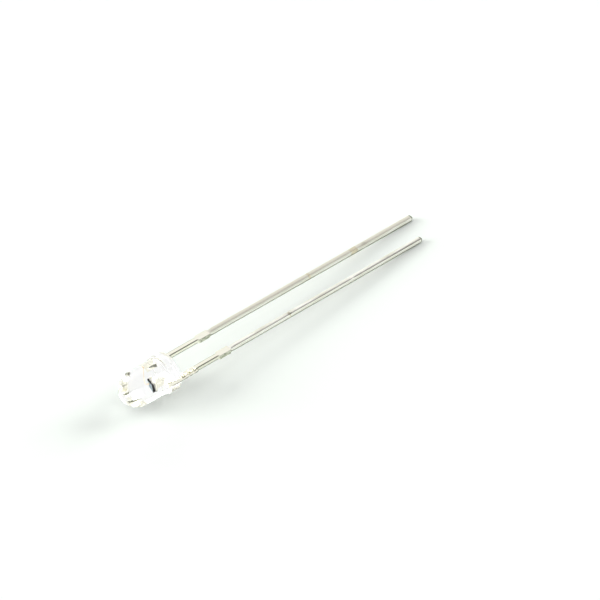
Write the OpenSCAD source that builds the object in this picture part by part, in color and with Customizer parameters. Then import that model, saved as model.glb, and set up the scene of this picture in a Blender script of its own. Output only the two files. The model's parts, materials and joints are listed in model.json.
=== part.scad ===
// Photodiode in a 3 mm (T-1) water-clear epoxy package with two tin-plated leads.
// It lies at rest on a table: on the rear rim of its flange and on both lead tips.
// Each piece is drawn upright, seating plane at z = 0 and lens up, with the leads apart
// along Y, and lie_down() then lays it over, dome towards -X and leads towards +X.

/* [Lens body] */
// Diameter of the clear barrel and of its hemispherical lens
lens_d = 3.0; // [3.0:0.05:4.0]
// Height from the seating plane to the crown of the lens
body_h = 4.8; // [4.5:0.1:6.0]
// How far the flange stands out from the barrel
flange_lip = 0.16; // [0.1:0.01:0.4]
// Thickness of the flange
flange_t = 0.9; // [0.6:0.05:1.2]
// How deep the polarity flat is cut into the flange rim
flat_depth = 0.16; // [0.05:0.01:0.3]
// Rounding of the two flange edges
flange_edge_r = 0.06; // [0.02:0.01:0.12]
// How far the epoxy climbs each lead below the seating plane
meniscus_h = 0.3; // [0.1:0.05:0.6]
// How far that climb spreads from the corners of the lead
meniscus_spread = 0.05; // [0.03:0.01:0.08]

/* [Leads] */
// Distance between the two leads, centre to centre
pitch = 2.54; // [2.0:0.02:2.54]
// Width of a lead across the pair
lead_w = 0.4; // [0.3:0.02:0.44]
// Thickness of the lead frame sheet
lead_t = 0.4; // [0.3:0.02:0.5]
// Rounding of the long edges of the tinned leads
lead_edge_r = 0.04; // [0.02:0.01:0.1]
// Length of the long (anode) lead below the seating plane
anode_len = 28.2; // [15:0.1:32]
// Length of the short (cathode) lead below the seating plane
cathode_len = 26.9; // [14:0.1:31]

/* [Dam bar stubs] */
// Distance from the seating plane to the stubs left where the tie bar was cut off
stub_z = 4.15; // [2:0.05:8]
// Length of a stub along the lead
stub_h = 1.4; // [0.8:0.1:2]
// How far a stub stands out from each side of the lead
stub_out = 0.12; // [0.05:0.01:0.2]
// Run of the slope at each end of a stub
stub_ramp = 0.12; // [0.05:0.01:0.3]

/* [Lead frame heads] */
// Epoxy left between the heads and the outside of the barrel
head_wall = 0.1; // [0.08:0.01:0.3]
// Height inside the flange at which the leads turn to run up inside that wall
neck_z = 0.45; // [0.3:0.05:0.6]
// Height over which they turn
neck_run = 0.15; // [0.1:0.05:0.3]
// Height inside the flange at which the leads start to widen inwards
root_z = 0.3; // [0.2:0.05:0.4]
// Height of the underside of both heads at its inner end
arm_z = 0.8; // [0.6:0.05:1]
// Height of the arm that joins the die pad's post to the cathode lead
arm_h = 0.45; // [0.3:0.05:0.6]
// How far the die pad stands off the lens axis, towards the cathode lead
pad_shift = 0.31; // [0:0.01:0.35]
// Height of the die pad's face above the seating plane
pad_z = 2.21; // [2:0.01:2.8]
// How far the square die pad stands out past the adhesive
pad_ledge = 0.02; // [0.01:0.01:0.2]
// Thickness of the coined die pad
pad_t = 0.16; // [0.1:0.01:0.3]
// Width of the post under the die pad
post_w = 0.5; // [0.4:0.02:0.6]
// Gap between that post and the anode's flag
flag_gap = 0.62; // [0.4:0.02:0.7]
// Height of the anode's bonding top above the seating plane
bond_post_z = 1.85; // [1.7:0.05:2.2]
// Width of the flat on top of the anode's flag, where the wire is stitched
flag_top_w = 0.38; // [0.3:0.02:0.6]
// Height of the slope from that flat down to the side of the flag
flag_slope_h = 0.5; // [0.3:0.05:0.7]

/* [Chip] */
// Side of the square silicon chip
chip_w = 0.58; // [0.5:0.02:0.76]
// Thickness of the chip
chip_t = 0.3; // [0.15:0.01:0.4]
// Thickness of the silver-filled adhesive under the chip
attach_t = 0.02; // [0.01:0.005:0.04]
// How far the adhesive spreads past the chip
attach_spread = 0.02; // [0.01:0.01:0.06]

/* [Bond wire] */
// Diameter of the gold wire
wire_d = 0.03; // [0.02:0.005:0.05]
// Diameter of the ball bond on the chip
ball_d = 0.09; // [0.07:0.01:0.12]
// Height of the ball bond
ball_h = 0.03; // [0.02:0.005:0.04]
// Straight rise of the wire above the chip
wire_rise = 0.12; // [0.08:0.01:0.2]
// Radius of the bend at the top of the loop
wire_bend_r = 0.12; // [0.08:0.01:0.2]
// Distance from the chip's edge to the ball bond
bond_inset = 0.1; // [0.08:0.01:0.2]
// Diameter of the pressed foot of the stitch
stitch_d = 0.09; // [0.06:0.01:0.12]
// Thickness of that foot
stitch_h = 0.03; // [0.02:0.005:0.04]

/* [Hidden] */
$fn = 96;
eps = 0.01;
weld_gap = 0.002;

lens_r = lens_d / 2;
flange_r = lens_r + flange_lip;
lens_z = body_h - lens_r;
flat_y = flange_r - flat_depth;
lead_y = pitch / 2;
meniscus_r = norm([lead_w, lead_t]) / 2 + meniscus_spread;

lead_in_y = lead_y - lead_w / 2;
lead_out_y = lead_y + lead_w / 2;
head_y = lens_r - head_wall;
neck_top_z = neck_z + neck_run;
post_in_y = post_w / 2 - pad_shift;
post_out_y = post_w / 2 + pad_shift;
flag_y = post_in_y + flag_gap;
bond_y = flag_y + flag_top_w / 2;

attach_w = chip_w + 2 * attach_spread;
pad_w = attach_w + 2 * pad_ledge;
pad_back_z = pad_z - pad_t;
chip_z = pad_z + attach_t;
chip_face_z = chip_z + chip_t;

// The wire rises from the ball, turns over one bend and runs straight down, tangent to
// that bend, to its stitch. It ends weld_gap above the flag, and only its foot touches.
// Each straight length laps one wire radius into the bend.
wire_r = wire_d / 2;
ball_y = chip_w / 2 - pad_shift - bond_inset;
bend_y = ball_y + wire_bend_r;
bend_z = chip_face_z + ball_h + wire_rise;
stitch_z = bond_post_z + wire_r + weld_gap;
run_to = [bond_y - bend_y, stitch_z - bend_z];
run_len = sqrt(norm(run_to) ^ 2 - wire_bend_r ^ 2);
run_drop = 90 - atan2(run_to[1], run_to[0]) - acos(wire_bend_r / norm(run_to));

// Resting attitude: the flange's rear rim and the lower face of each lead tip meet z = 0.
lead_step = anode_len - cathode_len;
rest_tilt = atan((flange_r - lead_t / 2)
    / (anode_len - (pitch - lead_w) * lead_step / (2 * pitch)));
rest_roll = asin(lead_step * tan(rest_tilt) / pitch);
axis_z = flange_r * cos(rest_tilt);
dome_x = -lens_z * cos(rest_tilt) - lens_r;
tip_x = anode_len * cos(rest_tilt) + lead_t / 2 * sin(rest_tilt);

// Lays an upright piece down in its resting attitude, over the middle of its length.
module lie_down() {
    translate([-(dome_x + tip_x) / 2, 0, axis_z])
        rotate([0, rest_tilt, 0])
            rotate([rest_roll, 0, 0])
                rotate([0, -90, 0])
                    children();
}

// Stands a flat outline up in the plane of the lead frame: its x runs along Y, its y up Z.
module in_frame_plane(thickness) {
    rotate([90, 0, 90])
        linear_extrude(height = thickness, center = true)
            children();
}

// Square section of a tinned lead, with its four edges rounded.
module lead_section() {
    square([lead_t, lead_w - 2 * lead_edge_r], center = true);
    square([lead_t - 2 * lead_edge_r, lead_w], center = true);
    for (sx = [-1, 1], sy = [-1, 1])
        translate([sx * (lead_t / 2 - lead_edge_r), sy * (lead_w / 2 - lead_edge_r)])
            circle(r = lead_edge_r);
}

// Outline of the tie bar's cut ends, which stand out from both sides of a lead.
module stub_outline() {
    out = lead_w / 2 + stub_out;
    polygon([
        [-out, -stub_z - stub_ramp], [-lead_w / 2, -stub_z],
        [lead_w / 2, -stub_z], [out, -stub_z - stub_ramp],
        [out, -stub_z - stub_h + stub_ramp], [lead_w / 2, -stub_z - stub_h],
        [-lead_w / 2, -stub_z - stub_h], [-out, -stub_z - stub_h + stub_ramp]
    ]);
}

// The part of a lead that hangs below the seating plane, with its stubs.
module lead_shank(len) {
    translate([0, 0, -len])
        linear_extrude(height = len)
            lead_section();
    in_frame_plane(lead_t)
        stub_outline();
}

// Half of the package outline, for turning about the lens axis.
module body_profile() {
    intersection() {
        union() {
            square([flange_r, flange_t - flange_edge_r]);
            square([flange_r - flange_edge_r, flange_t]);
            translate([flange_r - flange_edge_r, flange_t - flange_edge_r])
                circle(r = flange_edge_r);
            square([lens_r, lens_z]);
            translate([0, lens_z])
                circle(r = lens_r);
        }
        square([flange_r, body_h]);
    }
}

// Epoxy that has crept down each lead, trimmed to the flange's own outline.
module menisci() {
    intersection() {
        for (side = [-1, 1])
            translate([0, side * lead_y, -meniscus_h])
                cylinder(h = meniscus_h + eps, r1 = meniscus_r - meniscus_spread, r2 = meniscus_r);
        translate([0, 0, -meniscus_h])
            cylinder(h = 2 * meniscus_h, r = flange_r);
    }
}

// The cut that leaves the polarity flat on the cathode side of the flange.
module flat_cut() {
    translate([-flange_r, -flat_y - flange_r, -meniscus_h - eps])
        cube([2 * flange_r, flange_r, flange_t + meniscus_h + eps]);
}

module anode_upright() {
    translate([0, lead_y, 0])
        lead_shank(anode_len);
    in_frame_plane(lead_t)
        polygon([
            [lead_out_y, 0], [lead_out_y, neck_z], [head_y, neck_top_z],
            [head_y, bond_post_z - flag_slope_h], [flag_y + flag_top_w, bond_post_z],
            [flag_y, bond_post_z], [flag_y, arm_z], [lead_in_y, root_z], [lead_in_y, 0]
        ]);
}

module cathode_upright() {
    translate([0, -lead_y, 0])
        lead_shank(cathode_len);
    in_frame_plane(lead_t)
        polygon([
            [-lead_out_y, 0], [-lead_out_y, neck_z], [-head_y, neck_top_z],
            [-head_y, arm_z + arm_h], [-post_out_y, arm_z + arm_h], [-post_out_y, pad_back_z],
            [post_in_y, pad_back_z], [post_in_y, arm_z], [-lead_in_y, root_z], [-lead_in_y, 0]
        ]);
    on_pad(pad_w, pad_back_z, pad_t);
}

// A square layer of the chip's stack, over the middle of the die pad.
module on_pad(side, z, height) {
    translate([-side / 2, -pad_shift - side / 2, z])
        cube([side, side, height]);
}

module chip_upright() {
    on_pad(chip_w, chip_z, chip_t);
}

module attach_upright() {
    on_pad(attach_w, pad_z, attach_t);
}

module wire_upright() {
    translate([0, ball_y, chip_face_z]) {
        cylinder(h = ball_h, d = ball_d);
        cylinder(h = ball_h + wire_rise + wire_r, r = wire_r);
    }
    translate([0, bend_y, bend_z]) {
        rotate([90, 0, 90])
            rotate([0, 0, 90 - run_drop])
                rotate_extrude(angle = 90 + run_drop)
                    translate([wire_bend_r, 0])
                        circle(r = wire_r);
        rotate([-90 - run_drop, 0, 0])
            translate([0, -wire_bend_r, -wire_r])
                cylinder(h = run_len + wire_r, r = wire_r);
    }
    translate([0, bond_y, stitch_z])
        sphere(r = wire_r);
    translate([0, bond_y, bond_post_z])
        cylinder(h = stitch_h, d = stitch_d);
}

module epoxy_body() {
    color("azure", 0.35)
        lie_down()
            difference() {
                union() {
                    rotate_extrude()
                        body_profile();
                    menisci();
                }
                flat_cut();
                anode_upright();
                cathode_upright();
                chip_upright();
                attach_upright();
                wire_upright();
            }
}

module anode_lead() {
    color("silver")
        lie_down()
            anode_upright();
}

module cathode_lead() {
    color("silver")
        lie_down()
            cathode_upright();
}

module photodiode_chip() {
    color("midnightblue")
        lie_down()
            chip_upright();
}

module die_attach() {
    color("gray")
        lie_down()
            attach_upright();
}

module bond_wire() {
    color("gold")
        lie_down()
            wire_upright();
}

epoxy_body();
anode_lead();
cathode_lead();
photodiode_chip();
die_attach();
bond_wire();
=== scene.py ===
"""A clear 3 mm photodiode lying on a white table.
Every piece is drawn upright, in millimetres: seating plane at z = 0, lens up, leads apart along Y.
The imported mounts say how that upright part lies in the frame."""

import json
import math

import bmesh
import bpy
from mathutils import Matrix, Vector, noise


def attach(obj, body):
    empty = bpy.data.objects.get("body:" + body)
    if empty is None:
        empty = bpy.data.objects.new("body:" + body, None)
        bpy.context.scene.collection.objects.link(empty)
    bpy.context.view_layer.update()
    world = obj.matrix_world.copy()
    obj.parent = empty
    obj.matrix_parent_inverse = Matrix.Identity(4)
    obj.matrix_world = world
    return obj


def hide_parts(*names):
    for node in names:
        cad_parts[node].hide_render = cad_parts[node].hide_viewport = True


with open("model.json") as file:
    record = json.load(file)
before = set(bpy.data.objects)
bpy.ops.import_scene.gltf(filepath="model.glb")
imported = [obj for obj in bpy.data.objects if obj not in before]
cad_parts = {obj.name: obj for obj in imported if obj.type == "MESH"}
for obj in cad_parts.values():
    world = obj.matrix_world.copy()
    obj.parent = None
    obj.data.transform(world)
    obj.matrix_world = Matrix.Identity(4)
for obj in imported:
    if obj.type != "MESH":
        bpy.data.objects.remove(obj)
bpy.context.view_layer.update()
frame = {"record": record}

MM = 0.001
CREASE_DEG = 32

# Epoxy casting
LENS_R = 1.5
BODY_H = 4.8
FLANGE_R = 1.66
FLANGE_T = 0.9
FLANGE_EDGE_R = 0.06
BARREL_FILLET_R = 0.05
FLAT_Y = 1.503
SEAT_DISH = 0.05
LENS_SEGMENTS = 192
SEAT_RINGS = 16
BARREL_RINGS = 12
DOME_RINGS = 64
EDGE_STEPS = 6
CENTRE_R = 0.01

# Epoxy that crept down the leads
MENISCUS_H = 0.3
MENISCUS_R = 0.37
CREEP_TOP_Z = 0.12
CREEP_SHOULDER_Z = 0.03
CREEP_R = 0.25
CREEP_FALL = 2.2
CREEP_END_IN = 0.06
CREEP_END_RUN = 0.03
CREEP_SEGMENTS = 48
CREEP_STEPS = 8
BEAD_STEPS = 10
BEAD_WAIST = 0.012
BEAD_FULLNESS = 0.8
# Depth where each bead starts, its length and its height
CATHODE_BEADS = ((0.34, 0.6, 0.05), (0.97, 0.5, 0.045), (1.5, 0.4, 0.035))
CATHODE_WETTED = CATHODE_BEADS[-1][0] + CATHODE_BEADS[-1][1] / 2

# Leads below the seating plane
LEAD_Y = 1.27
LEAD_W = 0.4
LEAD_T = 0.4
ANODE_LEN = 28.2
CATHODE_LEN = 26.9
STUB_Z = 4.15
STUB_H = 1.4
STUB_OUT = 0.12
STUB_RAMP = 0.12
SHEARED_REACH = 0.7
STATION = 0.08
CORNER_STEPS = 5
FACE_STEPS = 6
SHANK_TOP_Z = 0.35
SPLAY_RUN = 1.5
PLATED_TURN_DEG = 1.5
SWAY = 0.012
SWAY_WAVES = 0.2
SWAY_SEED = 5
TWIST_WAVES = 0.3
TWIST_SEED = 9
# The cut left the tips this much longer
BURR = 0.1
CROPPED_END = 0.14
CROPPED_ROUND = 0.05

# Skin of the leads
# The stamped-edge finish is torn strip, and is also laid as painted shade and painted dark reflection on the
# leads and heads.
PLATED, TORN_EDGE_AND_SHADE, TINNED, RUBBED, STAINED, SHEARED = range(6)
EDGE_R = 0.055
SHARP_EDGE_R = 0.025
PLATE_CROWN = 0.001
SHANK_SHRINK = 0.002
TIN_T = 0.02
TIN_LIFT = 0.02
TIN_WAVES = 0.55
TIN_WAVE_H = 0.004
TIN_SAGS = 2.6
TIN_SAG_H = 0.003
TIN_SAG_SEED = 7.0
SIDE_CROWN = 0.03
TOP_CROWN = 0.008
DIP_RAMP = 0.5
TIN_LINE_Z = STUB_Z + STUB_H - 0.1
# Heights up the sides that the punch tore, and that the dip left thin. The dark finish on them also paints
# the shade along the strip's underside.
TORN_AND_SHADED_H = 0.1
THIN_TIN_AND_SHADED_H = 0.15
SIDE_BAND = 0.03
TOP_BAND = 0.01
SHEAR_STEP = 0.018
SHEAR_LINE_X = -0.03
SHEAR_BAND = 0.02
STAIN_RAGGED = 0.6
STAIN_WAVES = 6

# Lead heads inside the casting
HEAD_BOTTOM_Z = 0.06
HEAD_Y = 1.4
NECK_Z = 0.45
NECK_TOP_Z = 0.6
ROOT_Z = 0.3
ARM_Z = 0.8
ARM_TOP_Z = 1.25
PAD_SHIFT = 0.31
POST_W = 0.5
POST_IN_Y = POST_W / 2 - PAD_SHIFT
POST_OUT_Y = POST_W / 2 + PAD_SHIFT
PAD_Z = 2.21
PAD_T = 0.16
PAD_EDGE = 0.025
PAD_CORNER_R = 0.07
HEAD_GAP = 0.62
FLAG_Y = POST_IN_Y + HEAD_GAP
FLAG_TOP_W = 0.38
BOND_POST_Z = 1.85
FLAG_SLOPE_H = 0.5
HEAD_EDGE_R = 0.03
HEAD_EDGE_STEPS = 3
# Torn sides of the head plates: the dark finish there is torn metal and also painted shade in the gap between
# the heads.
TEAR_AND_SHADE_CUTS = 11
TEAR_AND_SHADE_SPREAD = 1.2
TEAR_AND_SHADE_RAGGED = 0.3
TEAR_AND_SHADE_WAVES = 12
TEAR_AND_SHADE_OVER_W = 0.09
TEAR_AND_SHADE_OVER_LOW_Z = 1.3
TEAR_AND_SHADE_OVER_TOP_Z = 1.8

# Chip, its adhesive and its wire
NITRIDE, SAWN, ALUMINIUM = range(3)
CHIP_W = 0.58
CHIP_T = 0.3
ATTACH_T = 0.02
ATTACH_SPREAD = 0.02
PAD_RIM = 0.02
PAD_W = CHIP_W + 2 * ATTACH_SPREAD + 2 * PAD_RIM
CHIP_Z = PAD_Z + ATTACH_T
CHIP_FACE_Z = CHIP_Z + CHIP_T
DIE_CORNER_R = 0.006
DIE_FOOT_NICK = 0.004
BREAK_H = 0.1
BREAK_STEP_H = 0.006
KERF_STEP = 0.008
FACE_BEVEL_W = 0.006
FACE_BEVEL_H = 0.005
FACE_SLACK = 0.001
DIE_METAL_H = 0.003
GUARD_RING_IN = 0.03
GUARD_RING_W = 0.02
GUARD_OUTER_R = 0.03
GUARD_INNER_R = 0.02
BOND_PAD_HALF = 0.062
BOND_PAD_CORNER_R = 0.01
# How far out from the die and how far up it the paste stands, from its foot to its top edge
SQUEEZE_OUT = ((0.034, 0.0), (0.03, 0.01), (0.018, 0.03), (0.009, 0.06), (0.003, 0.1), (-0.006, 0.11))
PASTE_SINK = 0.002
PASTE_CORNER_R = 0.03
PASTE_LUMPS = 9
PASTE_SEED = 3.0
PASTE_BULGE = 0.012
PASTE_UNEVEN = 0.35
PASTE_LEAN = 0.5
BALL_INSET = 0.1
BALL_Y = CHIP_W / 2 - PAD_SHIFT - BALL_INSET
BALL_D = 0.09
BALL_H = 0.03
BALL_SEGMENTS = 24
BALL_ROUNDING = 0.7
BALL_SLANT_DEG = 84
BALL_STEP_DEG = 12
WIRE_D = 0.02
WIRE_SEGMENTS = 16
WIRE_STEPS = 48
WIRE_TOP_Z = 2.8
WIRE_OVERSHOOT = 0.14
WIRE_REACH = 0.34
WIRE_SAG = 0.06
STITCH_Y = FLAG_Y + FLAG_TOP_W / 2
STITCH_D = 0.09
STITCH_LIFT = 0.7 * WIRE_D


def colour(hex_text):
    """Linear RGBA of an sRGB hex value."""
    parts = [int(hex_text[i:i + 2], 16) / 255 for i in (1, 3, 5)]
    return [c / 12.92 if c <= 0.04045 else ((c + 0.055) / 1.055) ** 2.4 for c in parts] + [1.0]


def add_node(tree, kind, settings=None, links=None):
    """Adds a node, with its settings and socket values, and joins other sockets to its inputs."""
    node = tree.nodes.new(kind)
    for key, value in (settings or {}).items():
        if isinstance(key, str) and hasattr(node, key) and key not in node.inputs:
            setattr(node, key, value)
        else:
            node.inputs[key].default_value = value
    for key, socket in (links or {}).items():
        tree.links.new(socket, node.inputs[key])
    return node


def upright_to_frame():
    """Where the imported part's seating plane, lens and leads put the upright part."""
    mounts = {m["name"]: m for m in frame["record"]["mounts"]}
    seat = Vector(mounts["seating_plane"]["pos_m"])
    up = Vector(mounts["lens_barrel"]["axis"]).normalized()
    across = Vector(mounts["anode_pin"]["pos_m"]) - Vector(mounts["cathode_pin"]["pos_m"])
    across = (across - across.dot(up) * up).normalized()
    side = across.cross(up)
    turn = Matrix((side, across, up)).transposed().to_4x4()
    return Matrix.Translation(seat) @ turn @ Matrix.Scale(MM, 4)


LIE = upright_to_frame()


def loose_mesh(name, bm, materials=()):
    """An upright mesh, laid down in the frame as an object of its own."""
    bmesh.ops.recalc_face_normals(bm, faces=bm.faces)
    mesh = bpy.data.meshes.new(name)
    bm.to_mesh(mesh)
    bm.free()
    mesh.transform(LIE)
    for material in materials:
        mesh.materials.append(material)
    made = bpy.data.objects.new(name, mesh)
    bpy.context.collection.objects.link(made)
    return made


def join_solid(piece, other):
    """Joins another closed mesh to a piece as one skin, then removes the other."""
    union = piece.modifiers.new("join", "BOOLEAN")
    union.operation = "UNION"
    union.solver = "EXACT"
    union.object = other
    bpy.context.view_layer.update()
    evaluated = piece.evaluated_get(bpy.context.evaluated_depsgraph_get())
    mesh = bpy.data.meshes.new_from_object(evaluated)
    piece.modifiers.remove(union)
    piece.data = mesh
    bpy.data.objects.remove(other)


def show_piece(piece, node):
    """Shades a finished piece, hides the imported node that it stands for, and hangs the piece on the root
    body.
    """
    piece.data.polygons.foreach_set("use_smooth", [True] * len(piece.data.polygons))
    piece.data.set_sharp_from_angle(angle=math.radians(CREASE_DEG))
    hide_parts(node)
    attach(piece, "root")


def arc(centre, radius, start, end, steps):
    """Points on an arc, in degrees."""
    for i in range(steps + 1):
        a = math.radians(start + (end - start) * i / steps)
        yield (centre[0] + radius * math.cos(a), centre[1] + radius * math.sin(a))


def band(bm, near, far):
    """Faces that join two loops of as many points each."""
    faces = []
    for k in range(len(near)):
        j = (k + 1) % len(near)
        faces.append(bm.faces.new((near[k], near[j], far[j], far[k])))
    return faces


def loft(rings):
    """A closed skin through rings of as many points each, with a flat face at both ends."""
    bm = bmesh.new()
    skins = [[bm.verts.new(p) for p in ring] for ring in rings]
    for lower, upper in zip(skins, skins[1:]):
        band(bm, lower, upper)
    bm.faces.new(list(reversed(skins[0])))
    bm.faces.new(skins[-1])
    return bm


def turned(profile, segments, centre_y=0.0):
    """Rings of a half outline (r, z) turned about an upright axis."""
    turns = [2 * math.pi * k / segments for k in range(segments)]
    return [[(r * math.cos(t), centre_y + r * math.sin(t), z) for t in turns] for r, z in profile]


# ---- Clear epoxy casting ----

def casting_profile():
    """Half outline (r, z) of the casting, from the middle of its dished underside to the crown."""
    lip = FLANGE_R - FLANGE_EDGE_R
    barrel = LENS_R + BARREL_FILLET_R
    barrel_z = FLANGE_T + BARREL_FILLET_R
    dome_z = BODY_H - LENS_R
    points = [(CENTRE_R, SEAT_DISH)]
    points += [(lip * i / SEAT_RINGS, SEAT_DISH * (1 - (i / SEAT_RINGS) ** 2))
               for i in range(2, SEAT_RINGS + 1)]
    points += list(arc((lip, FLANGE_EDGE_R), FLANGE_EDGE_R, -90, 0, EDGE_STEPS))[1:]
    points += list(arc((lip, FLANGE_T - FLANGE_EDGE_R), FLANGE_EDGE_R, 0, 90, EDGE_STEPS))
    points += list(arc((barrel, barrel_z), BARREL_FILLET_R, 270, 180, EDGE_STEPS))
    points += [(LENS_R, barrel_z + (dome_z - barrel_z) * i / BARREL_RINGS)
               for i in range(1, BARREL_RINGS)]
    points += list(arc((0, dome_z), LENS_R, 0, 90, DOME_RINGS))[:-1]
    return points


def keep_off_flat(bm, top_z):
    """Presses the skin back to the polarity flat on the cathode side."""
    for v in bm.verts:
        if v.co.z <= top_z and v.co.y < -FLAT_Y:
            v.co.y = -FLAT_Y
    return bm


def creep_profile(beads):
    """Half outline (r, z) of the epoxy that crept down a lead, with the beads that it set in."""
    points = [(MENISCUS_R, CREEP_TOP_Z), (MENISCUS_R, CREEP_SHOULDER_Z)]
    for i in range(1, CREEP_STEPS + 1):
        share = i / CREEP_STEPS
        points.append((CREEP_R + (MENISCUS_R - CREEP_R) * (1 - share) ** CREEP_FALL, -MENISCUS_H * share))
    for start, length, height in beads:
        for i in range(BEAD_STEPS + 1):
            swell = (height + BEAD_WAIST) * math.sin(math.pi * i / BEAD_STEPS) ** BEAD_FULLNESS
            points.append((CREEP_R - BEAD_WAIST + swell, -start - length * i / BEAD_STEPS))
    return points + [(CREEP_R - CREEP_END_IN, points[-1][1] - CREEP_END_RUN)]


def epoxy_casting(material):
    """The casting: flange, barrel and domed lens, with what crept down each lead."""
    body = keep_off_flat(loft(turned(casting_profile(), LENS_SEGMENTS)), FLANGE_T + BARREL_FILLET_R)
    casting = loose_mesh("clear_epoxy_casting", body, [material])
    for centre_y, beads in ((LEAD_Y, ()), (-LEAD_Y, CATHODE_BEADS)):
        creep = loft(turned(creep_profile(beads), CREEP_SEGMENTS, centre_y))
        join_solid(casting, loose_mesh("creep", keep_off_flat(creep, FLANGE_T), [material]))
    return casting


# ---- Stamped and tinned leads ----

def cushion_section(half_w, half_t, corner_r, side_crown, top_crown):
    """Outline (x, y) of a square strip with rounded corners, its four faces crowned by the tin on them."""
    x, y = half_t - corner_r, half_w - corner_r
    centres = [Vector(c) for c in ((x, y), (-x, y), (-x, -y), (x, -y))]
    points = []
    for quarter, centre in enumerate(centres):
        points += list(arc(centre, corner_r, 90 * quarter, 90 * quarter + 90, CORNER_STEPS))
        facing = math.radians(90 * quarter + 90)
        out = Vector((math.cos(facing), math.sin(facing)))
        crown = top_crown if quarter % 2 else side_crown
        for i in range(1, FACE_STEPS):
            share = i / FACE_STEPS
            across = centre.lerp(centres[(quarter + 1) % 4], share)
            points.append(tuple(across + (corner_r + crown * 4 * share * (1 - share)) * out))
    return points


def stub_reach(depth):
    """How far the sheared tie bar stands out of each side of the strip at a depth."""
    into = min(depth - STUB_Z, STUB_Z + STUB_H - depth)
    return STUB_OUT * min(1.0, max(0.0, into / STUB_RAMP))


def dip_skin(depth, seed):
    """How far the dipped tin falls short of its thickness, in mm: slow waves and a few sags."""
    waves = noise.noise(Vector((seed, depth * TIN_WAVES, 0.0)))
    sags = noise.noise(Vector((seed, depth * TIN_SAGS, TIN_SAG_SEED)))
    return TIN_WAVE_H * waves + TIN_SAG_H * sags


def shank_section(depth, length, seed, dipped, edge_r):
    """Outline (x, y) of a shank at a depth: wider at the tie bar, rounded off where it was cropped."""
    reach = stub_reach(depth)
    cut = CROPPED_ROUND * max(0.0, 1 - (length - depth) / CROPPED_END) ** 2
    grown = (TIN_T - dip_skin(depth, seed)) * dipped - SHANK_SHRINK * (1 - dipped)
    half_w = LEAD_W / 2 + grown - cut + reach - SIDE_CROWN / 2 * dipped
    half_t = LEAD_T / 2 + grown - cut
    section = cushion_section(half_w, half_t, edge_r, PLATE_CROWN + SIDE_CROWN * dipped,
                              PLATE_CROWN + TOP_CROWN * dipped)
    if reach == 0:
        return section
    broken = [x < SHEAR_LINE_X and abs(y) > half_w - SHEAR_BAND for x, y in section]
    return [(x, y - math.copysign(SHEAR_STEP, y)) if torn else (x, y)
            for (x, y), torn in zip(section, broken)]


def shank_finish(middle, out, length, wetted, rubbed, stains):
    """Which finish a shank has at a point, with how far out that is from the strip's middle line."""
    depth = -middle.z
    on_stub = stub_reach(depth) > 0
    dark_side_h = TORN_AND_SHADED_H if depth < STUB_Z else THIN_TIN_AND_SHADED_H
    ragged = 1 + STAIN_RAGGED * noise.noise(middle * STAIN_WAVES)
    if out > LEAD_W / 2 + STUB_OUT * SHEARED_REACH:
        return SHEARED
    # Cropped tips: the cut, with the dark finish also painted contact shade where they meet the table.
    if depth > length - CROPPED_END:
        return TORN_EDGE_AND_SHADE
    # Lower sides: torn strip and thin tin, with the dark finish also painted shade under the strip.
    if not on_stub and out > LEAD_W / 2 - SIDE_BAND and middle.x < dark_side_h - LEAD_T / 2:
        return TORN_EDGE_AND_SHADE
    if any(abs(depth - at) < reach * ragged for at, reach in stains):
        return STAINED
    if depth > TIN_LINE_Z:
        return RUBBED if rubbed and middle.x > LEAD_T / 2 - TOP_BAND else TINNED
    # Top corners of the plated part: dark finish as painted dark reflection, which draws the strip's edges.
    if depth > wetted and not on_stub and min(out, middle.x) > LEAD_W / 2 - EDGE_R:
        return TORN_EDGE_AND_SHADE
    return PLATED


def lead_shank(length, side, seed, rubbed, wetted, tinned_edge_r, twists, splay, lean, nicks, stains):
    """A strip from inside the flange down to its cut tip: plated as far as the tie bar, then dipped in tin.
    It splays, leans and twists by a hair, and may be rubbed on top, as a bandoliered lead is.
    Epoxy wets it down to a depth. Twists are its turns at the tie bar and at the tip, in degrees.
    Each nick is (depth, length, turn) and each stain is (depth, reach)."""
    run = length + SHANK_TOP_Z
    steps = round(run / STATION)
    depths = {round(-SHANK_TOP_Z + run * i / steps, 4) for i in range(steps + 1)}
    depths |= {STUB_Z + offset for offset in (0.0, STUB_RAMP, STUB_H - STUB_RAMP, STUB_H)}
    depths.add(length - CROPPED_END)

    def sway_at(depth):
        """How far towards +Y the splay and the lean put the strip."""
        return splay * min(1.0, max(0.0, depth / SPLAY_RUN)) + lean * max(0.0, depth / length)

    rings = []
    for depth in sorted(depths):
        dipped = min(1.0, max(0.0, (depth - STUB_Z - STUB_H) / DIP_RAMP))
        sharp = stub_reach(depth) > 0 or depth < wetted
        edge_r = SHARP_EDGE_R if sharp else EDGE_R + (tinned_edge_r - EDGE_R) * dipped
        wander = noise.noise(Vector((seed + SWAY_SEED, depth * SWAY_WAVES, 0.0)))
        sway = sway_at(depth) + SWAY * dipped * wander
        twist = twists[0] + (twists[1] - twists[0]) * depth / length
        twist += noise.noise(Vector((seed + TWIST_SEED, depth * TWIST_WAVES, 0.0)))
        turn = PLATED_TURN_DEG + (twist - PLATED_TURN_DEG) * dipped
        for nick_depth, nick_len, nick_turn in nicks:
            turn += nick_turn * math.exp(-((depth - nick_depth) / nick_len) ** 2)
        c, s = math.cos(math.radians(turn)), math.sin(math.radians(turn))
        rings.append([(TIN_LIFT * dipped + c * x - s * y, side * LEAD_Y + sway + s * x + c * y, -depth)
                      for x, y in shank_section(depth, length, seed, dipped, edge_r)])
    bm = loft(rings)
    for face in bm.faces:
        middle = face.calc_center_median()
        out = abs(middle.y - side * LEAD_Y - sway_at(-middle.z))
        face.material_index = shank_finish(middle, out, length, wetted, rubbed, stains)
    return bm


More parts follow.
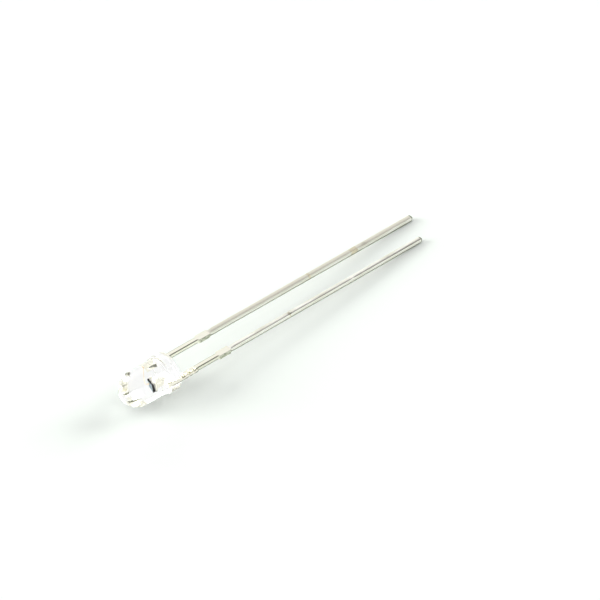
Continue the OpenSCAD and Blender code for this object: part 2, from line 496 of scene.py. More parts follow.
def stamped_plate(points, torn_and_shaded_side):
    """A plate of lead strip whose outline is given as (y, z), with its edges rolled over.
    The torn side is counted by the point it starts from. It faces the narrow gap between the heads, where
    the punch tore it, most at its root. Its dark finish is also painted shade in that gap."""
    bm = bmesh.new()
    front = [bm.verts.new((LEAD_T / 2, y, z)) for y, z in points]
    back = [bm.verts.new((-LEAD_T / 2, y, z)) for y, z in points]
    bm.faces.new(front)
    bm.faces.new(list(reversed(back)))
    for i in range(len(points)):
        j = (i + 1) % len(points)
        edge = bm.faces.new((front[j], front[i], back[i], back[j]))
        edge.material_index = TORN_EDGE_AND_SHADE if i == torn_and_shaded_side else PLATED
    bmesh.ops.recalc_face_normals(bm, faces=bm.faces)
    bmesh.ops.bevel(bm, geom=bm.edges[:], offset=HEAD_EDGE_R, segments=HEAD_EDGE_STEPS, profile=0.5,
                    affect="EDGES")
    torn = [face for face in bm.faces if face.material_index == TORN_EDGE_AND_SHADE]
    side = max(torn, key=lambda face: face.calc_area())
    bmesh.ops.subdivide_edges(bm, edges=side.edges[:], cuts=TEAR_AND_SHADE_CUTS, use_grid_fill=True)
    low, high = sorted((points[torn_and_shaded_side][1], points[torn_and_shaded_side + 1][1]))
    for face in bm.faces:
        middle = face.calc_center_median()
        along, across = (middle.z - low) / (high - low), middle.x / LEAD_T + 0.5
        whole = across < TEAR_AND_SHADE_SPREAD * along + TEAR_AND_SHADE_RAGGED * noise.noise(middle * TEAR_AND_SHADE_WAVES)
        if face.material_index == TORN_EDGE_AND_SHADE and whole:
            face.material_index = PLATED
    return bm


def tear_and_shade_over_edge(flag):
    """Lets the dark finish of the flag's torn side run a little way over its edge, onto the table side: a
    tear, and painted shade under the flag.
    """
    for place, normal in (((0, FLAG_Y + TEAR_AND_SHADE_OVER_W, 0), (0, 1, 0)),
                          ((0, 0, TEAR_AND_SHADE_OVER_LOW_Z), (0, 0, 1)),
                          ((0, 0, TEAR_AND_SHADE_OVER_TOP_Z), (0, 0, 1))):
        bmesh.ops.bisect_plane(flag, geom=flag.verts[:] + flag.edges[:] + flag.faces[:],
                               plane_co=place, plane_no=normal)
    for face in flag.faces:
        x, y, z = face.calc_center_median()
        if (x < HEAD_EDGE_R / 2 - LEAD_T / 2 and y < FLAG_Y + TEAR_AND_SHADE_OVER_W
                and TEAR_AND_SHADE_OVER_LOW_Z < z < TEAR_AND_SHADE_OVER_TOP_Z):
            face.material_index = TORN_EDGE_AND_SHADE
    return flag


def anode_head():
    """The flag that the wire is stitched to."""
    out_y, in_y = LEAD_Y + LEAD_W / 2, LEAD_Y - LEAD_W / 2
    flag = stamped_plate([(out_y, HEAD_BOTTOM_Z), (out_y, NECK_Z), (HEAD_Y, NECK_TOP_Z),
                          (HEAD_Y, BOND_POST_Z - FLAG_SLOPE_H), (FLAG_Y + FLAG_TOP_W, BOND_POST_Z),
                          (FLAG_Y, BOND_POST_Z), (FLAG_Y, ARM_Z), (in_y, ROOT_Z), (in_y, HEAD_BOTTOM_Z)], 5)
    return tear_and_shade_over_edge(flag)


def cathode_head():
    """The arm and post that carry the die pad."""
    out_y, in_y = -LEAD_Y - LEAD_W / 2, -LEAD_Y + LEAD_W / 2
    pad_middle_z = PAD_Z - PAD_T / 2
    return stamped_plate([(out_y, HEAD_BOTTOM_Z), (out_y, NECK_Z), (-HEAD_Y, NECK_TOP_Z),
                          (-HEAD_Y, ARM_TOP_Z), (-POST_OUT_Y, ARM_TOP_Z), (-POST_OUT_Y, pad_middle_z),
                          (POST_IN_Y, pad_middle_z), (POST_IN_Y, ARM_Z), (in_y, ROOT_Z),
                          (in_y, HEAD_BOTTOM_Z)], 6)


def pad_outline(half, corner_r, steps=6):
    """Rounded square (x, y) over the middle of the die pad."""
    points = []
    for quarter, (sx, sy) in enumerate(((1, 1), (-1, 1), (-1, -1), (1, -1))):
        centre = (sx * (half - corner_r), -PAD_SHIFT + sy * (half - corner_r))
        points += list(arc(centre, corner_r, 90 * quarter, 90 * quarter + 90, steps))
    return points


def square_stack(levels, corner_r, steps=6):
    """A skin through rounded squares over the pad, given as (half side, z) from the bottom up."""
    return loft([[(x, y, z) for x, y in pad_outline(half, corner_r, steps)] for half, z in levels])


def coined_pad():
    """The die pad, coined flat, its rim left torn on the table side, where the dark finish also paints shade
    under the pad.
    """
    half = PAD_W / 2
    back_z = PAD_Z - PAD_T
    bm = square_stack([(half - PAD_EDGE, back_z), (half, back_z + PAD_EDGE), (half, PAD_Z - PAD_EDGE / 2),
                       (half - PAD_EDGE / 2, PAD_Z)], PAD_CORNER_R)
    for face in bm.faces:
        middle = face.calc_center_median()
        if abs(middle.z - PAD_Z + PAD_T / 2) < PAD_T / 2 - PAD_EDGE and middle.x < 0:
            face.material_index = TORN_EDGE_AND_SHADE
    return bm


def lead_frame(name, shank, head_parts, materials):
    """One lead: its shank and the parts of its head as a single skin."""
    piece = loose_mesh(name, shank, materials)
    for part in head_parts:
        join_solid(piece, loose_mesh("head", part, materials))
    return piece


# ---- Chip, adhesive and wire ----

def silicon_die(materials):
    """A sawn die: a deep cut, a finer break-through below it, and its metal ring and bond pad on top."""
    half = CHIP_W / 2
    cut = half - KERF_STEP
    break_z = CHIP_Z + BREAK_H
    bm = square_stack([(half - DIE_FOOT_NICK, CHIP_Z), (half, CHIP_Z + DIE_FOOT_NICK), (half, break_z),
                       (cut, break_z + BREAK_STEP_H), (cut, CHIP_FACE_Z - FACE_BEVEL_H),
                       (cut - FACE_BEVEL_W, CHIP_FACE_Z)], DIE_CORNER_R, steps=2)
    for face in bm.faces:
        on_face = face.calc_center_median().z > CHIP_FACE_Z - FACE_SLACK
        face.material_index = NITRIDE if on_face else SAWN
    low, high = CHIP_FACE_Z - DIE_METAL_H, CHIP_FACE_Z + DIE_METAL_H
    outer = pad_outline(half - GUARD_RING_IN, GUARD_OUTER_R)
    inner = pad_outline(half - GUARD_RING_IN - GUARD_RING_W, GUARD_INNER_R)
    hoops = [[bm.verts.new((x, y, z)) for x, y in outline]
             for outline, z in ((outer, low), (outer, high), (inner, high), (inner, low))]
    metal = []
    for near, far in zip(hoops, hoops[1:] + hoops[:1]):
        metal += band(bm, near, far)
    bond_pad = [(x, y + PAD_SHIFT + BALL_Y)
                for x, y in pad_outline(BOND_PAD_HALF, BOND_PAD_CORNER_R, steps=2)]
    land = [bm.verts.new((x, y, low)) for x, y in bond_pad]
    cap = [bm.verts.new((x, y, high)) for x, y in bond_pad]
    metal += band(bm, land, cap)
    metal += [bm.faces.new(list(reversed(land))), bm.faces.new(cap)]
    for face in metal:
        face.material_index = ALUMINIUM
    return loose_mesh("silicon_die", bm, materials)


def die_adhesive(material):
    """Paste pressed out round the die, climbing its sides unevenly: the needle stood on the +X side."""
    half = CHIP_W / 2
    rings = []
    for out, climb in SQUEEZE_OUT:
        ring = []
        for x, y in pad_outline(half + out, PASTE_CORNER_R + max(out, 0), steps=8):
            lump = noise.noise(Vector((x * PASTE_LUMPS, y * PASTE_LUMPS, PASTE_SEED)))
            spread = 1 + PASTE_BULGE * lump
            lean = min(1.0, max(-1.0, 2 * x / CHIP_W))
            height = climb * (1 + PASTE_UNEVEN * lump + PASTE_LEAN * lean)
            ring.append((x * spread, -PAD_SHIFT + (y + PAD_SHIFT) * spread, PAD_Z - PASTE_SINK + height))
        rings.append(ring)
    return loose_mesh("die_adhesive", loft(rings), [material])


def tube(points, radius):
    """A closed round wire along (y, z) points in the lead frame's plane."""
    turns = [2 * math.pi * k / WIRE_SEGMENTS for k in range(WIRE_SEGMENTS)]
    across = Vector((1, 0, 0))
    rings = []
    for i, (y, z) in enumerate(points):
        a, b = points[max(i - 1, 0)], points[min(i + 1, len(points) - 1)]
        normal = Vector((0, b[0] - a[0], b[1] - a[1])).normalized().cross(across)
        rings.append([Vector((0, y, z)) + radius * (math.cos(t) * across + math.sin(t) * normal)
                      for t in turns])
    return loft(rings)


def wire_path():
    """Rises from the ball, turns over and comes down to the stitch in one bow."""
    controls = ((BALL_Y, CHIP_FACE_Z + BALL_H / 2), (BALL_Y, WIRE_TOP_Z + WIRE_OVERSHOOT),
                (BALL_Y + WIRE_REACH, WIRE_TOP_Z + WIRE_SAG), (STITCH_Y, BOND_POST_Z + STITCH_LIFT))
    points = []
    for i in range(WIRE_STEPS + 1):
        t = i / WIRE_STEPS
        weights = ((1 - t) ** 3, 3 * t * (1 - t) ** 2, 3 * t * t * (1 - t), t ** 3)
        points.append(tuple(sum(w * c[k] for w, c in zip(weights, controls)) for k in (0, 1)))
    return points


def squashed_ball(y, z, width):
    """A ball or foot pressed flat by the bonding tool."""
    half_h = BALL_H / 2
    slants = [math.radians(a) for a in range(-BALL_SLANT_DEG, BALL_SLANT_DEG + 1, BALL_STEP_DEG)]
    profile = [(width / 2 * math.cos(a) ** BALL_ROUNDING, z + half_h + half_h * math.sin(a)) for a in slants]
    return loft(turned(profile, BALL_SEGMENTS, y))


def gold_bond_wire(material):
    """The wire, with its ball on the chip and its stitch on the flag."""
    wire = loose_mesh("gold_bond_wire", tube(wire_path(), WIRE_D / 2), [material])
    for y, z, width in ((BALL_Y, CHIP_FACE_Z, BALL_D), (STITCH_Y, BOND_POST_Z, STITCH_D)):
        join_solid(wire, loose_mesh("bond_end", squashed_ball(y, z, width), [material]))
    return wire


# ---- Materials ----

# Rolling, dipping and rubbing run along the strip, so their marks are drawn out along the part.
ROLLED = (0.1, 1.0, 1.0)
DRAGGED = (0.16, 1.0, 1.0)
SCRATCHED = (0.05, 1.0, 1.0)
# The saw's lines run level with the die's face, across the part.
SAW_LINES = (1.0, 0.12, 0.12)
# A colour mix's two inputs and its output, which share their names with those for numbers
MIX_LOW = 6
MIX_HIGH = 7
MIXED = 2


def new_material(name):
    """An empty material and its node tree."""
    material = bpy.data.materials.new(name)
    material.use_nodes = True
    material.node_tree.nodes.clear()
    return material, material.node_tree


def clear_epoxy():
    """Water-clear cast epoxy, IOR 1.53, from a polished steel mould: wet gloss with a faint orange peel."""
    material, tree = new_material("clear_cast_epoxy")
    coords = add_node(tree, "ShaderNodeTexCoord")
    peel = add_node(tree, "ShaderNodeTexNoise", {"Scale": 1 / (0.6 * MM), "Detail": 2.0},
                    {"Vector": coords.outputs["Object"]})
    rough = add_node(tree, "ShaderNodeMapRange", {"To Min": 0.0, "To Max": 0.03},
                     {"Value": peel.outputs["Fac"]})
    bump = add_node(tree, "ShaderNodeBump", {"Strength": 0.03, "Distance": 0.01 * MM},
                    {"Height": peel.outputs["Fac"]})
    shader = add_node(tree, "ShaderNodeBsdfPrincipled",
                      {"Base Color": colour("#FDFEFD"), "IOR": 1.53, "Transmission Weight": 1.0},
                      {"Roughness": rough.outputs["Result"], "Normal": bump.outputs["Normal"]})
    add_node(tree, "ShaderNodeOutputMaterial", None, {"Surface": shader.outputs["BSDF"]})
    return material


def bright_silver_plate():
    """Electroplated silver on strip, metallic, roughness near 0.15: almost white, faint rolling lines."""
    material, tree = new_material("bright_silver_plate")
    coords = add_node(tree, "ShaderNodeTexCoord")
    along = add_node(tree, "ShaderNodeMapping", {"Scale": ROLLED}, {"Vector": coords.outputs["Object"]})
    rolled = add_node(tree, "ShaderNodeTexNoise", {"Scale": 1 / (0.08 * MM), "Detail": 3.0},
                      {"Vector": along.outputs["Vector"]})
    tint = add_node(tree, "ShaderNodeMix",
                    {"data_type": "RGBA", MIX_LOW: colour("#F3F1E0"), MIX_HIGH: colour("#FCFAEE")},
                    {"Factor": rolled.outputs["Fac"]})
    rough = add_node(tree, "ShaderNodeMapRange", {"To Min": 0.1, "To Max": 0.2},
                     {"Value": rolled.outputs["Fac"]})
    bump = add_node(tree, "ShaderNodeBump", {"Strength": 0.1, "Distance": 0.01 * MM},
                    {"Height": rolled.outputs["Fac"]})
    shader = add_node(tree, "ShaderNodeBsdfPrincipled", {"Metallic": 1.0},
                      {"Base Color": tint.outputs[MIXED], "Roughness": rough.outputs["Result"],
                       "Normal": bump.outputs["Normal"]})
    add_node(tree, "ShaderNodeOutputMaterial", None, {"Surface": shader.outputs["BSDF"]})
    return material


def torn_edge_and_painted_shade():
    """Silver over the torn edge of stamped strip, metallic, roughness 0.4: dull grey, mottled by tearing.
    Its dark grey is also painted shade and painted dark reflection on the leads' corners, lower sides and
    tips.
    """
    material, tree = new_material("torn_edge_and_painted_shade")
    coords = add_node(tree, "ShaderNodeTexCoord")
    torn = add_node(tree, "ShaderNodeTexNoise", {"Scale": 1 / (0.06 * MM), "Detail": 3.0},
                    {"Vector": coords.outputs["Object"]})
    tint = add_node(tree, "ShaderNodeMix",
                    {"data_type": "RGBA", MIX_LOW: colour("#5E604F"), MIX_HIGH: colour("#8C8E7A")},
                    {"Factor": torn.outputs["Fac"]})
    bump = add_node(tree, "ShaderNodeBump", {"Strength": 0.3, "Distance": 0.01 * MM},
                    {"Height": torn.outputs["Fac"]})
    shader = add_node(tree, "ShaderNodeBsdfPrincipled", {"Metallic": 1.0, "Roughness": 0.4},
                      {"Base Color": tint.outputs[MIXED], "Normal": bump.outputs["Normal"]})
    add_node(tree, "ShaderNodeOutputMaterial", None, {"Surface": shader.outputs["BSDF"]})
    return material


def hot_dipped_tin():
    """Tin from a solder bath, metallic, roughness 0.12 to 0.3: cream-white, pebbled, dull drag marks."""
    material, tree = new_material("hot_dipped_tin")
    coords = add_node(tree, "ShaderNodeTexCoord")
    along = add_node(tree, "ShaderNodeMapping", {"Scale": DRAGGED}, {"Vector": coords.outputs["Object"]})
    drag = add_node(tree, "ShaderNodeTexNoise", {"Scale": 1 / (0.35 * MM), "Detail": 4.0},
                    {"Vector": along.outputs["Vector"]})
    pebble = add_node(tree, "ShaderNodeTexNoise", {"Scale": 1 / (0.2 * MM), "Detail": 3.0},
                      {"Vector": coords.outputs["Object"]})
    tint = add_node(tree, "ShaderNodeValToRGB", None, {"Fac": drag.outputs["Fac"]})
    for element, place, hex_text in zip(tint.color_ramp.elements, (0.36, 0.62), ("#EFEDE0", "#FFFEF6")):
        element.position = place
        element.color = colour(hex_text)
    rough = add_node(tree, "ShaderNodeMapRange", {"To Min": 0.3, "To Max": 0.12},
                     {"Value": drag.outputs["Fac"]})
    bump = add_node(tree, "ShaderNodeBump", {"Strength": 0.3, "Distance": 0.012 * MM},
                    {"Height": pebble.outputs["Fac"]})
    shader = add_node(tree, "ShaderNodeBsdfPrincipled", {"Metallic": 1.0},
                      {"Base Color": tint.outputs["Color"], "Roughness": rough.outputs["Result"],
                       "Normal": bump.outputs["Normal"]})
    add_node(tree, "ShaderNodeOutputMaterial", None, {"Surface": shader.outputs["BSDF"]})
    return material


def rubbed_tin():
    """Tin rubbed dull on a feed track, metallic, roughness 0.3 to 0.45: satin cream, scratched lengthwise."""
    material, tree = new_material("rubbed_tin")
    coords = add_node(tree, "ShaderNodeTexCoord")
    along = add_node(tree, "ShaderNodeMapping", {"Scale": SCRATCHED}, {"Vector": coords.outputs["Object"]})
    scratches = add_node(tree, "ShaderNodeTexNoise", {"Scale": 1 / (0.05 * MM), "Detail": 3.0},
                         {"Vector": along.outputs["Vector"]})
    tint = add_node(tree, "ShaderNodeMix",
                    {"data_type": "RGBA", MIX_LOW: colour("#EDEADB"), MIX_HIGH: colour("#FBF8EC")},
                    {"Factor": scratches.outputs["Fac"]})
    rough = add_node(tree, "ShaderNodeMapRange", {"To Min": 0.3, "To Max": 0.45},
                     {"Value": scratches.outputs["Fac"]})
    bump = add_node(tree, "ShaderNodeBump", {"Strength": 0.2, "Distance": 0.006 * MM},
                    {"Height": scratches.outputs["Fac"]})
    shader = add_node(tree, "ShaderNodeBsdfPrincipled", {"Metallic": 1.0},
                      {"Base Color": tint.outputs[MIXED], "Roughness": rough.outputs["Result"],
                       "Normal": bump.outputs["Normal"]})
    add_node(tree, "ShaderNodeOutputMaterial", None, {"Surface": shader.outputs["BSDF"]})
    return material


def flux_stain():
    """Tin under a thin film of dried flux, metallic, roughness 0.35 to 0.55: pale tan, blotchy and satin."""
    material, tree = new_material("flux_stained_tin")
    coords = add_node(tree, "ShaderNodeTexCoord")
    blotch = add_node(tree, "ShaderNodeTexNoise", {"Scale": 1 / (0.15 * MM), "Detail": 4.0},
                      {"Vector": coords.outputs["Object"]})
    tint = add_node(tree, "ShaderNodeMix",
                    {"data_type": "RGBA", MIX_LOW: colour("#D8CFB6"), MIX_HIGH: colour("#FCF5DF")},
                    {"Factor": blotch.outputs["Fac"]})
    rough = add_node(tree, "ShaderNodeMapRange", {"To Min": 0.35, "To Max": 0.55},
                     {"Value": blotch.outputs["Fac"]})
    shader = add_node(tree, "ShaderNodeBsdfPrincipled", {"Metallic": 1.0},
                      {"Base Color": tint.outputs[MIXED], "Roughness": rough.outputs["Result"]})
    add_node(tree, "ShaderNodeOutputMaterial", None, {"Surface": shader.outputs["BSDF"]})
    return material


def sheared_strip():
    """Bare steel where the tie bar was cut, metallic, roughness 0.5: torn, mottled grey-green to pale."""
    material, tree = new_material("sheared_steel_strip")
    coords = add_node(tree, "ShaderNodeTexCoord")
    torn = add_node(tree, "ShaderNodeTexNoise", {"Scale": 1 / (0.12 * MM), "Detail": 5.0},
                    {"Vector": coords.outputs["Object"]})
    tint = add_node(tree, "ShaderNodeValToRGB", None, {"Fac": torn.outputs["Fac"]})
    for element, place, hex_text in zip(tint.color_ramp.elements, (0.38, 0.62), ("#8E927B", "#EEF0DF")):
        element.position = place
        element.color = colour(hex_text)
    bump = add_node(tree, "ShaderNodeBump", {"Strength": 0.6, "Distance": 0.03 * MM},
                    {"Height": torn.outputs["Fac"]})
    shader = add_node(tree, "ShaderNodeBsdfPrincipled", {"Metallic": 1.0, "Roughness": 0.5},
                      {"Base Color": tint.outputs["Color"], "Normal": bump.outputs["Normal"]})
    add_node(tree, "ShaderNodeOutputMaterial", None, {"Surface": shader.outputs["BSDF"]})
    return material


def nitride_coated_silicon():
    """Silicon under a thin nitride coat. It shines like a dim metal, roughness 0.12, and is shaded as one:
    pale blue-grey, with slow drifts."""
    material, tree = new_material("nitride_coated_silicon")
    coords = add_node(tree, "ShaderNodeTexCoord")
    drift = add_node(tree, "ShaderNodeTexNoise", {"Scale": 1 / (0.25 * MM)},
                     {"Vector": coords.outputs["Object"]})
    tint = add_node(tree, "ShaderNodeMix",
                    {"data_type": "RGBA", MIX_LOW: colour("#6E818B"), MIX_HIGH: colour("#A9BFC6")},
                    {"Factor": drift.outputs["Fac"]})
    shader = add_node(tree, "ShaderNodeBsdfPrincipled", {"Metallic": 1.0, "Roughness": 0.12},
                      {"Base Color": tint.outputs[MIXED]})
    add_node(tree, "ShaderNodeOutputMaterial", None, {"Surface": shader.outputs["BSDF"]})
    return material


def sawn_silicon():
    """Diamond-sawn silicon, roughness 0.6 and next to no gloss: near black, with the blade's fine lines."""
    material, tree = new_material("sawn_silicon")
    coords = add_node(tree, "ShaderNodeTexCoord")
    along = add_node(tree, "ShaderNodeMapping", {"Scale": SAW_LINES}, {"Vector": coords.outputs["Object"]})
    lines = add_node(tree, "ShaderNodeTexNoise", {"Scale": 1 / (0.02 * MM), "Detail": 2.0},
                     {"Vector": along.outputs["Vector"]})
    tint = add_node(tree, "ShaderNodeMix",
                    {"data_type": "RGBA", MIX_LOW: colour("#020303"), MIX_HIGH: colour("#0A0C0D")},
                    {"Factor": lines.outputs["Fac"]})
    bump = add_node(tree, "ShaderNodeBump", {"Strength": 0.3, "Distance": 0.004 * MM},
                    {"Height": lines.outputs["Fac"]})
    shader = add_node(tree, "ShaderNodeBsdfPrincipled", {"Roughness": 0.6, "Specular IOR Level": 0.05},
                      {"Base Color": tint.outputs[MIXED], "Normal": bump.outputs["Normal"]})
    add_node(tree, "ShaderNodeOutputMaterial", None, {"Surface": shader.outputs["BSDF"]})
    return material


def sputtered_aluminium():
    """Sputtered aluminium on the die, metallic, roughness near 0.3: pale grey with a fine grain."""
    material, tree = new_material("sputtered_aluminium")
    coords = add_node(tree, "ShaderNodeTexCoord")
    grain = add_node(tree, "ShaderNodeTexNoise", {"Scale": 1 / (0.01 * MM)},
                     {"Vector": coords.outputs["Object"]})
    tint = add_node(tree, "ShaderNodeMix",
                    {"data_type": "RGBA", MIX_LOW: colour("#D6D8DA"), MIX_HIGH: colour("#ECEDEE")},
                    {"Factor": grain.outputs["Fac"]})
    rough = add_node(tree, "ShaderNodeMapRange", {"To Min": 0.2, "To Max": 0.4},
                     {"Value": grain.outputs["Fac"]})
    shader = add_node(tree, "ShaderNodeBsdfPrincipled", {"Metallic": 1.0},
                      {"Base Color": tint.outputs[MIXED], "Roughness": rough.outputs["Result"]})
    add_node(tree, "ShaderNodeOutputMaterial", None, {"Surface": shader.outputs["BSDF"]})
    return material


def silver_filled_epoxy():
    """Cured epoxy paste, mostly silver flake, and shaded as metal, roughness 0.5: dull pale grey, flaky."""
    material, tree = new_material("silver_filled_epoxy")
    coords = add_node(tree, "ShaderNodeTexCoord")
    flake = add_node(tree, "ShaderNodeTexVoronoi", {"Scale": 1 / (0.02 * MM)},
                     {"Vector": coords.outputs["Object"]})
    tint = add_node(tree, "ShaderNodeMix",
                    {"data_type": "RGBA", MIX_LOW: colour("#DAD9D2"), MIX_HIGH: colour("#A3A29A")},
                    {"Factor": flake.outputs["Distance"]})
    bump = add_node(tree, "ShaderNodeBump", {"Strength": 0.4, "Distance": 0.004 * MM},
                    {"Height": flake.outputs["Distance"]})
    shader = add_node(tree, "ShaderNodeBsdfPrincipled", {"Metallic": 1.0, "Roughness": 0.5},
                      {"Base Color": tint.outputs[MIXED], "Normal": bump.outputs["Normal"]})
    add_node(tree, "ShaderNodeOutputMaterial", None, {"Surface": shader.outputs["BSDF"]})
    return material


def drawn_gold():
    """Drawn gold bonding wire, metallic, roughness near 0.15: polished, with a very fine mottle."""
    material, tree = new_material("drawn_gold")
    coords = add_node(tree, "ShaderNodeTexCoord")
    mottle = add_node(tree, "ShaderNodeTexNoise", {"Scale": 1 / (0.01 * MM)},
                      {"Vector": coords.outputs["Object"]})
    tint = add_node(tree, "ShaderNodeMix",
                    {"data_type": "RGBA", MIX_LOW: colour("#EFCB84"), MIX_HIGH: colour("#FFE29D")},
                    {"Factor": mottle.outputs["Fac"]})
    rough = add_node(tree, "ShaderNodeMapRange", {"To Min": 0.1, "To Max": 0.22},
                     {"Value": mottle.outputs["Fac"]})
    shader = add_node(tree, "ShaderNodeBsdfPrincipled", {"Metallic": 1.0},
                      {"Base Color": tint.outputs[MIXED], "Roughness": rough.outputs["Result"]})
    add_node(tree, "ShaderNodeOutputMaterial", None, {"Surface": shader.outputs["BSDF"]})
    return material


# ---- The part ----

show_piece(epoxy_casting(clear_epoxy()), "epoxy_body")

LEAD_FINISHES = [bright_silver_plate(), torn_edge_and_painted_shade(), hot_dipped_tin(), rubbed_tin(),
                 flux_stain(), sheared_strip()]
anode_shank = lead_shank(length=ANODE_LEN + BURR, side=1, seed=11.0, rubbed=True, wetted=0.0,
                         tinned_edge_r=0.03, twists=(0.0, 0.0), splay=0.01, lean=0.12,
                         nicks=((16.5, 0.12, 8.0), (21.6, 0.3, 10.0), (22.8, 0.15, -9.0)),
                         stains=((16.5, 0.09), (21.6, 0.36)))
cathode_shank = lead_shank(length=CATHODE_LEN + BURR, side=-1, seed=29.0, rubbed=False,
                           wetted=CATHODE_WETTED, tinned_edge_r=EDGE_R, twists=(1.5, -2.5),
                           splay=0.065, lean=0.11, nicks=((12.0, 0.12, -8.0), (19.0, 0.15, 6.0)),
                           stains=((12.0, 0.06),))
show_piece(lead_frame("anode_lead_frame", anode_shank, [anode_head()], LEAD_FINISHES), "anode_lead")
show_piece(lead_frame("cathode_lead_frame", cathode_shank, [cathode_head(), coined_pad()], LEAD_FINISHES),
           "cathode_lead")
show_piece(silicon_die([nitride_coated_silicon(), sawn_silicon(), sputtered_aluminium()]), "photodiode_chip")
show_piece(die_adhesive(silver_filled_epoxy()), "die_attach")
show_piece(gold_bond_wire(drawn_gold()), "bond_wire")

# ---- Table, room and camera ----

TABLE_SIZE_M = 1.6
# Azimuth, elevation and spread of each window, in degrees, and how brightly it lights the table
WINDOWS = ((140, 16, 38, 0.27), (140, 58, 40, 0.15), (-10, 20, 36, 0.26), (60, 15, 30, 0.06))
ROOM_FILL = 0.24
TABLE_GLOW = 0.1
# What bright metal sees as it looks round the room about the part's length, in degrees from the +Y horizon
# over the top to the -Y horizon. The dark ceiling draws the edges of the leads.
ROOM_BANDS = ((-10, "#8A8A86"), (8, "#D8D7D2"), (20, "#FFFFFF"), (57, "#FFFFFF"), (70, "#605E58"),
              (134, "#605E58"), (145, "#FFFFFF"), (178, "#FFFFFF"), (190, "#E8E8E2"))
CAMERA_AZIMUTH = -43.02
CAMERA_ELEVATION = 41.76
CAMERA_DISTANCE_MM = 352.2
CAMERA_AIM_MM = (3.0, 0.37, 0.0)
CAMERA_CLIP_M = 0.01
SENSOR_MM = 36.0
LENS_FIELD_DEG = 7.945


def white_seen_directly(tree, kinds):
    """1 for the named kinds of ray before any has scattered, and 0 for light that falls on surfaces."""
    path = add_node(tree, "ShaderNodeLightPath")
    seen = path.outputs[kinds[0]]
    for kind in kinds[1:]:
        either = add_node(tree, "ShaderNodeMath", {"operation": "MAXIMUM"}, {0: seen, 1: path.outputs[kind]})
        seen = either.outputs[0]
    fresh = add_node(tree, "ShaderNodeMath", {"operation": "LESS_THAN", 1: 0.5},
                     {0: path.outputs["Diffuse Depth"]})
    both = add_node(tree, "ShaderNodeMath", {"operation": "MULTIPLY"}, {0: seen, 1: fresh.outputs[0]})
    return both.outputs[0]


def white_table():
    """Matt white paper. Seen directly it has a faint green cast and a little glow. Light scattered by other
    surfaces meets it plain. Through the clear casting it is pure white, as light gathered by the lens
    falls there."""
    material, tree = new_material("matt_white_paper")
    plain = add_node(tree, "ShaderNodeBsdfDiffuse", {"Color": colour("#E6E6E6")})
    paper = add_node(tree, "ShaderNodeBsdfDiffuse", {"Color": colour("#F9FFF9")})
    glow = add_node(tree, "ShaderNodeEmission", {"Color": colour("#FFFFFF"), "Strength": TABLE_GLOW})
    white = add_node(tree, "ShaderNodeEmission", {"Color": colour("#FFFFFF"), "Strength": 1.0})
    lit = add_node(tree, "ShaderNodeAddShader", None, {0: paper.outputs[0], 1: glow.outputs[0]})
    seen = white_seen_directly(tree, ("Is Camera Ray", "Is Glossy Ray"))
    through = white_seen_directly(tree, ("Is Transmission Ray",))
    bare = add_node(tree, "ShaderNodeMixShader", None, {"Fac": seen, 1: plain.outputs[0], 2: lit.outputs[0]})
    mix = add_node(tree, "ShaderNodeMixShader", None,
                   {"Fac": through, 1: bare.outputs[0], 2: white.outputs[0]})
    add_node(tree, "ShaderNodeOutputMaterial", None, {"Surface": mix.outputs[0]})
    return material


def lay_table():
    """The table that the part lies on."""
    bm = bmesh.new()
    bmesh.ops.create_grid(bm, x_segments=1, y_segments=1, size=TABLE_SIZE_M / 2)
    mesh = bpy.data.meshes.new("table")
    bm.to_mesh(mesh)
    bm.free()
    mesh.materials.append(white_table())
    table = bpy.data.objects.new("table", mesh)
    bpy.context.collection.objects.link(table)


def room_bands(tree):
    """The colour of the room in a direction, by its angle round the part's length."""
    coords = add_node(tree, "ShaderNodeTexCoord")
    look = add_node(tree, "ShaderNodeSeparateXYZ", None, {0: coords.outputs["Generated"]})
    angle = add_node(tree, "ShaderNodeMath", {"operation": "ARCTAN2"},
                     {0: look.outputs["Z"], 1: look.outputs["Y"]})
    start, end = ROOM_BANDS[0][0], ROOM_BANDS[-1][0]
    share = add_node(tree, "ShaderNodeMapRange",
                     {"From Min": math.radians(start), "From Max": math.radians(end)},
                     {"Value": angle.outputs[0]})
    bands = add_node(tree, "ShaderNodeValToRGB", None, {"Fac": share.outputs["Result"]})
    elements = bands.color_ramp.elements
    for i, (place, hex_text) in enumerate(ROOM_BANDS):
        element = elements[i] if i < 2 else elements.new(1.0)
        element.position = (place - start) / (end - start)
        element.color = colour(hex_text)
    return bands.outputs["Color"]


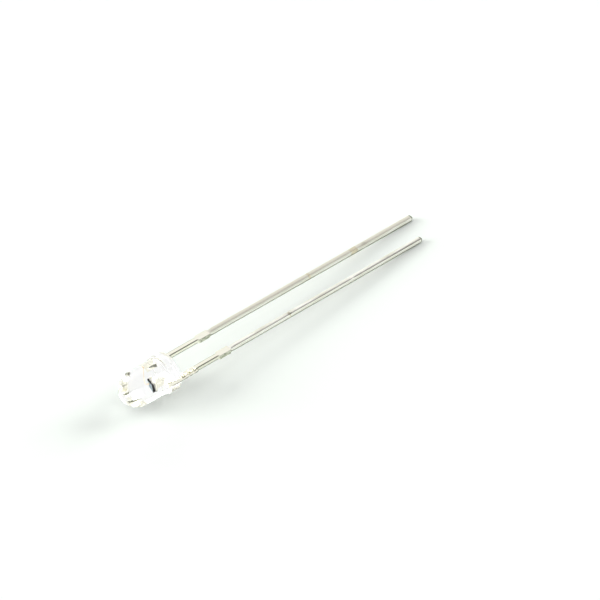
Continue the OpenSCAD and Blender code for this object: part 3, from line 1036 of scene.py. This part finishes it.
def white_room():
    """A white room. Metal sees its window, ceiling and far walls as bands, so that its edges are drawn."""
    world = bpy.data.worlds.new("white_room")
    bpy.context.scene.world = world
    world.use_nodes = True
    tree = world.node_tree
    tree.nodes.clear()
    fill = add_node(tree, "ShaderNodeBackground", {"Color": colour("#FFFFFF"), "Strength": ROOM_FILL})
    banded = add_node(tree, "ShaderNodeBackground", {"Strength": 1.0}, {"Color": room_bands(tree)})
    white = add_node(tree, "ShaderNodeBackground", {"Color": colour("#FFFFFF"), "Strength": 1.0})
    in_metal = add_node(tree, "ShaderNodeMixShader", None,
                        {"Fac": white_seen_directly(tree, ("Is Glossy Ray",)),
                         1: fill.outputs[0], 2: banded.outputs[0]})
    seen = white_seen_directly(tree, ("Is Camera Ray", "Is Transmission Ray"))
    mix = add_node(tree, "ShaderNodeMixShader", None,
                   {"Fac": seen, 1: in_metal.outputs[0], 2: white.outputs[0]})
    add_node(tree, "ShaderNodeOutputWorld", None, {"Surface": mix.outputs[0]})


def toward(azimuth_deg, elevation_deg):
    """Unit vector towards an azimuth, from +X round to +Y, and an elevation."""
    azimuth, elevation = math.radians(azimuth_deg), math.radians(elevation_deg)
    return Vector((math.cos(azimuth) * math.cos(elevation), math.sin(azimuth) * math.cos(elevation),
                   math.sin(elevation)))


def soft_windows():
    """Daylight from three low windows and a high one. Shiny surfaces see the bands of the room instead."""
    for azimuth, elevation, spread, share in WINDOWS:
        lamp = bpy.data.lights.new("window", "SUN")
        lamp.angle = math.radians(spread)
        lamp.energy = share * math.pi / math.sin(math.radians(elevation))
        made = bpy.data.objects.new("window", lamp)
        made.rotation_mode = "QUATERNION"
        made.rotation_quaternion = (-toward(azimuth, elevation)).to_track_quat("-Z", "Y")
        made.visible_glossy = False
        bpy.context.collection.objects.link(made)


def set_camera():
    """A long lens that looks down on the part from its dome's end."""
    lens = bpy.data.cameras.new("camera")
    lens.sensor_width = SENSOR_MM
    lens.angle = math.radians(LENS_FIELD_DEG)
    lens.clip_start = CAMERA_CLIP_M
    made = bpy.data.objects.new("camera", lens)
    back = toward(CAMERA_AZIMUTH - 90, CAMERA_ELEVATION)
    made.location = (Vector(CAMERA_AIM_MM) + back * CAMERA_DISTANCE_MM) * MM
    made.rotation_mode = "QUATERNION"
    made.rotation_quaternion = (-back).to_track_quat("-Z", "Y")
    bpy.context.collection.objects.link(made)
    bpy.context.scene.camera = made


lay_table()
white_room()
soft_windows()
set_camera()
bpy.context.scene.view_settings.view_transform = "Standard"
# Light goes round inside the clear casting many times before it comes out.
paths = bpy.context.scene.cycles
paths.max_bounces = 32
paths.glossy_bounces = 16
paths.transmission_bounces = 24
